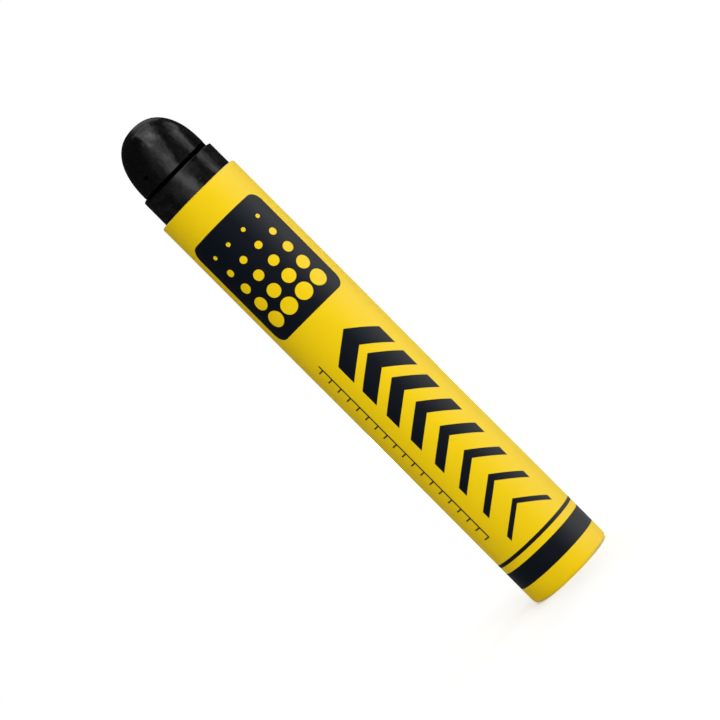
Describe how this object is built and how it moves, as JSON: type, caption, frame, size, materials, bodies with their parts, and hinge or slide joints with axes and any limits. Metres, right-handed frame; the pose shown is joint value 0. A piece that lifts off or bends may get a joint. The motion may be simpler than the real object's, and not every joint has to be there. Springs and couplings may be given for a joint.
{
  "type": "paint stick",
  "caption": "Stick of solid marking paint with a blunt nose, held in a wrapped paper sleeve and pushed forward out of it as the nose wears down.",
  "frame": {"origin": "middle of the sleeve's rear rim, on the axis", "axes": "+Z along the axis towards the nose; -Y is the printed front of the label and +Y the side with its lap"},
  "size_m": [0.0192, 0.0194, 0.1207],
  "materials": {
    "solid_paint": "cast waxy paint, satin",
    "paperboard": "uncoated grey board",
    "printed_paper": "coated paper with a satin print"
  },
  "bodies": {
    "sleeve": {"inner_ply": "paperboard", "middle_ply": "paperboard", "outer_ply": "paperboard", "label_wrap": "printed_paper"},
    "stick": {"paint_stick": "solid_paint"}
  },
  "joints": [
    {"name": "stick_feed", "type": "slide", "parent": "sleeve", "child": "stick", "axis": [0, 0, 1], "range_m": [-0.0015, 0.08]}
  ]
}
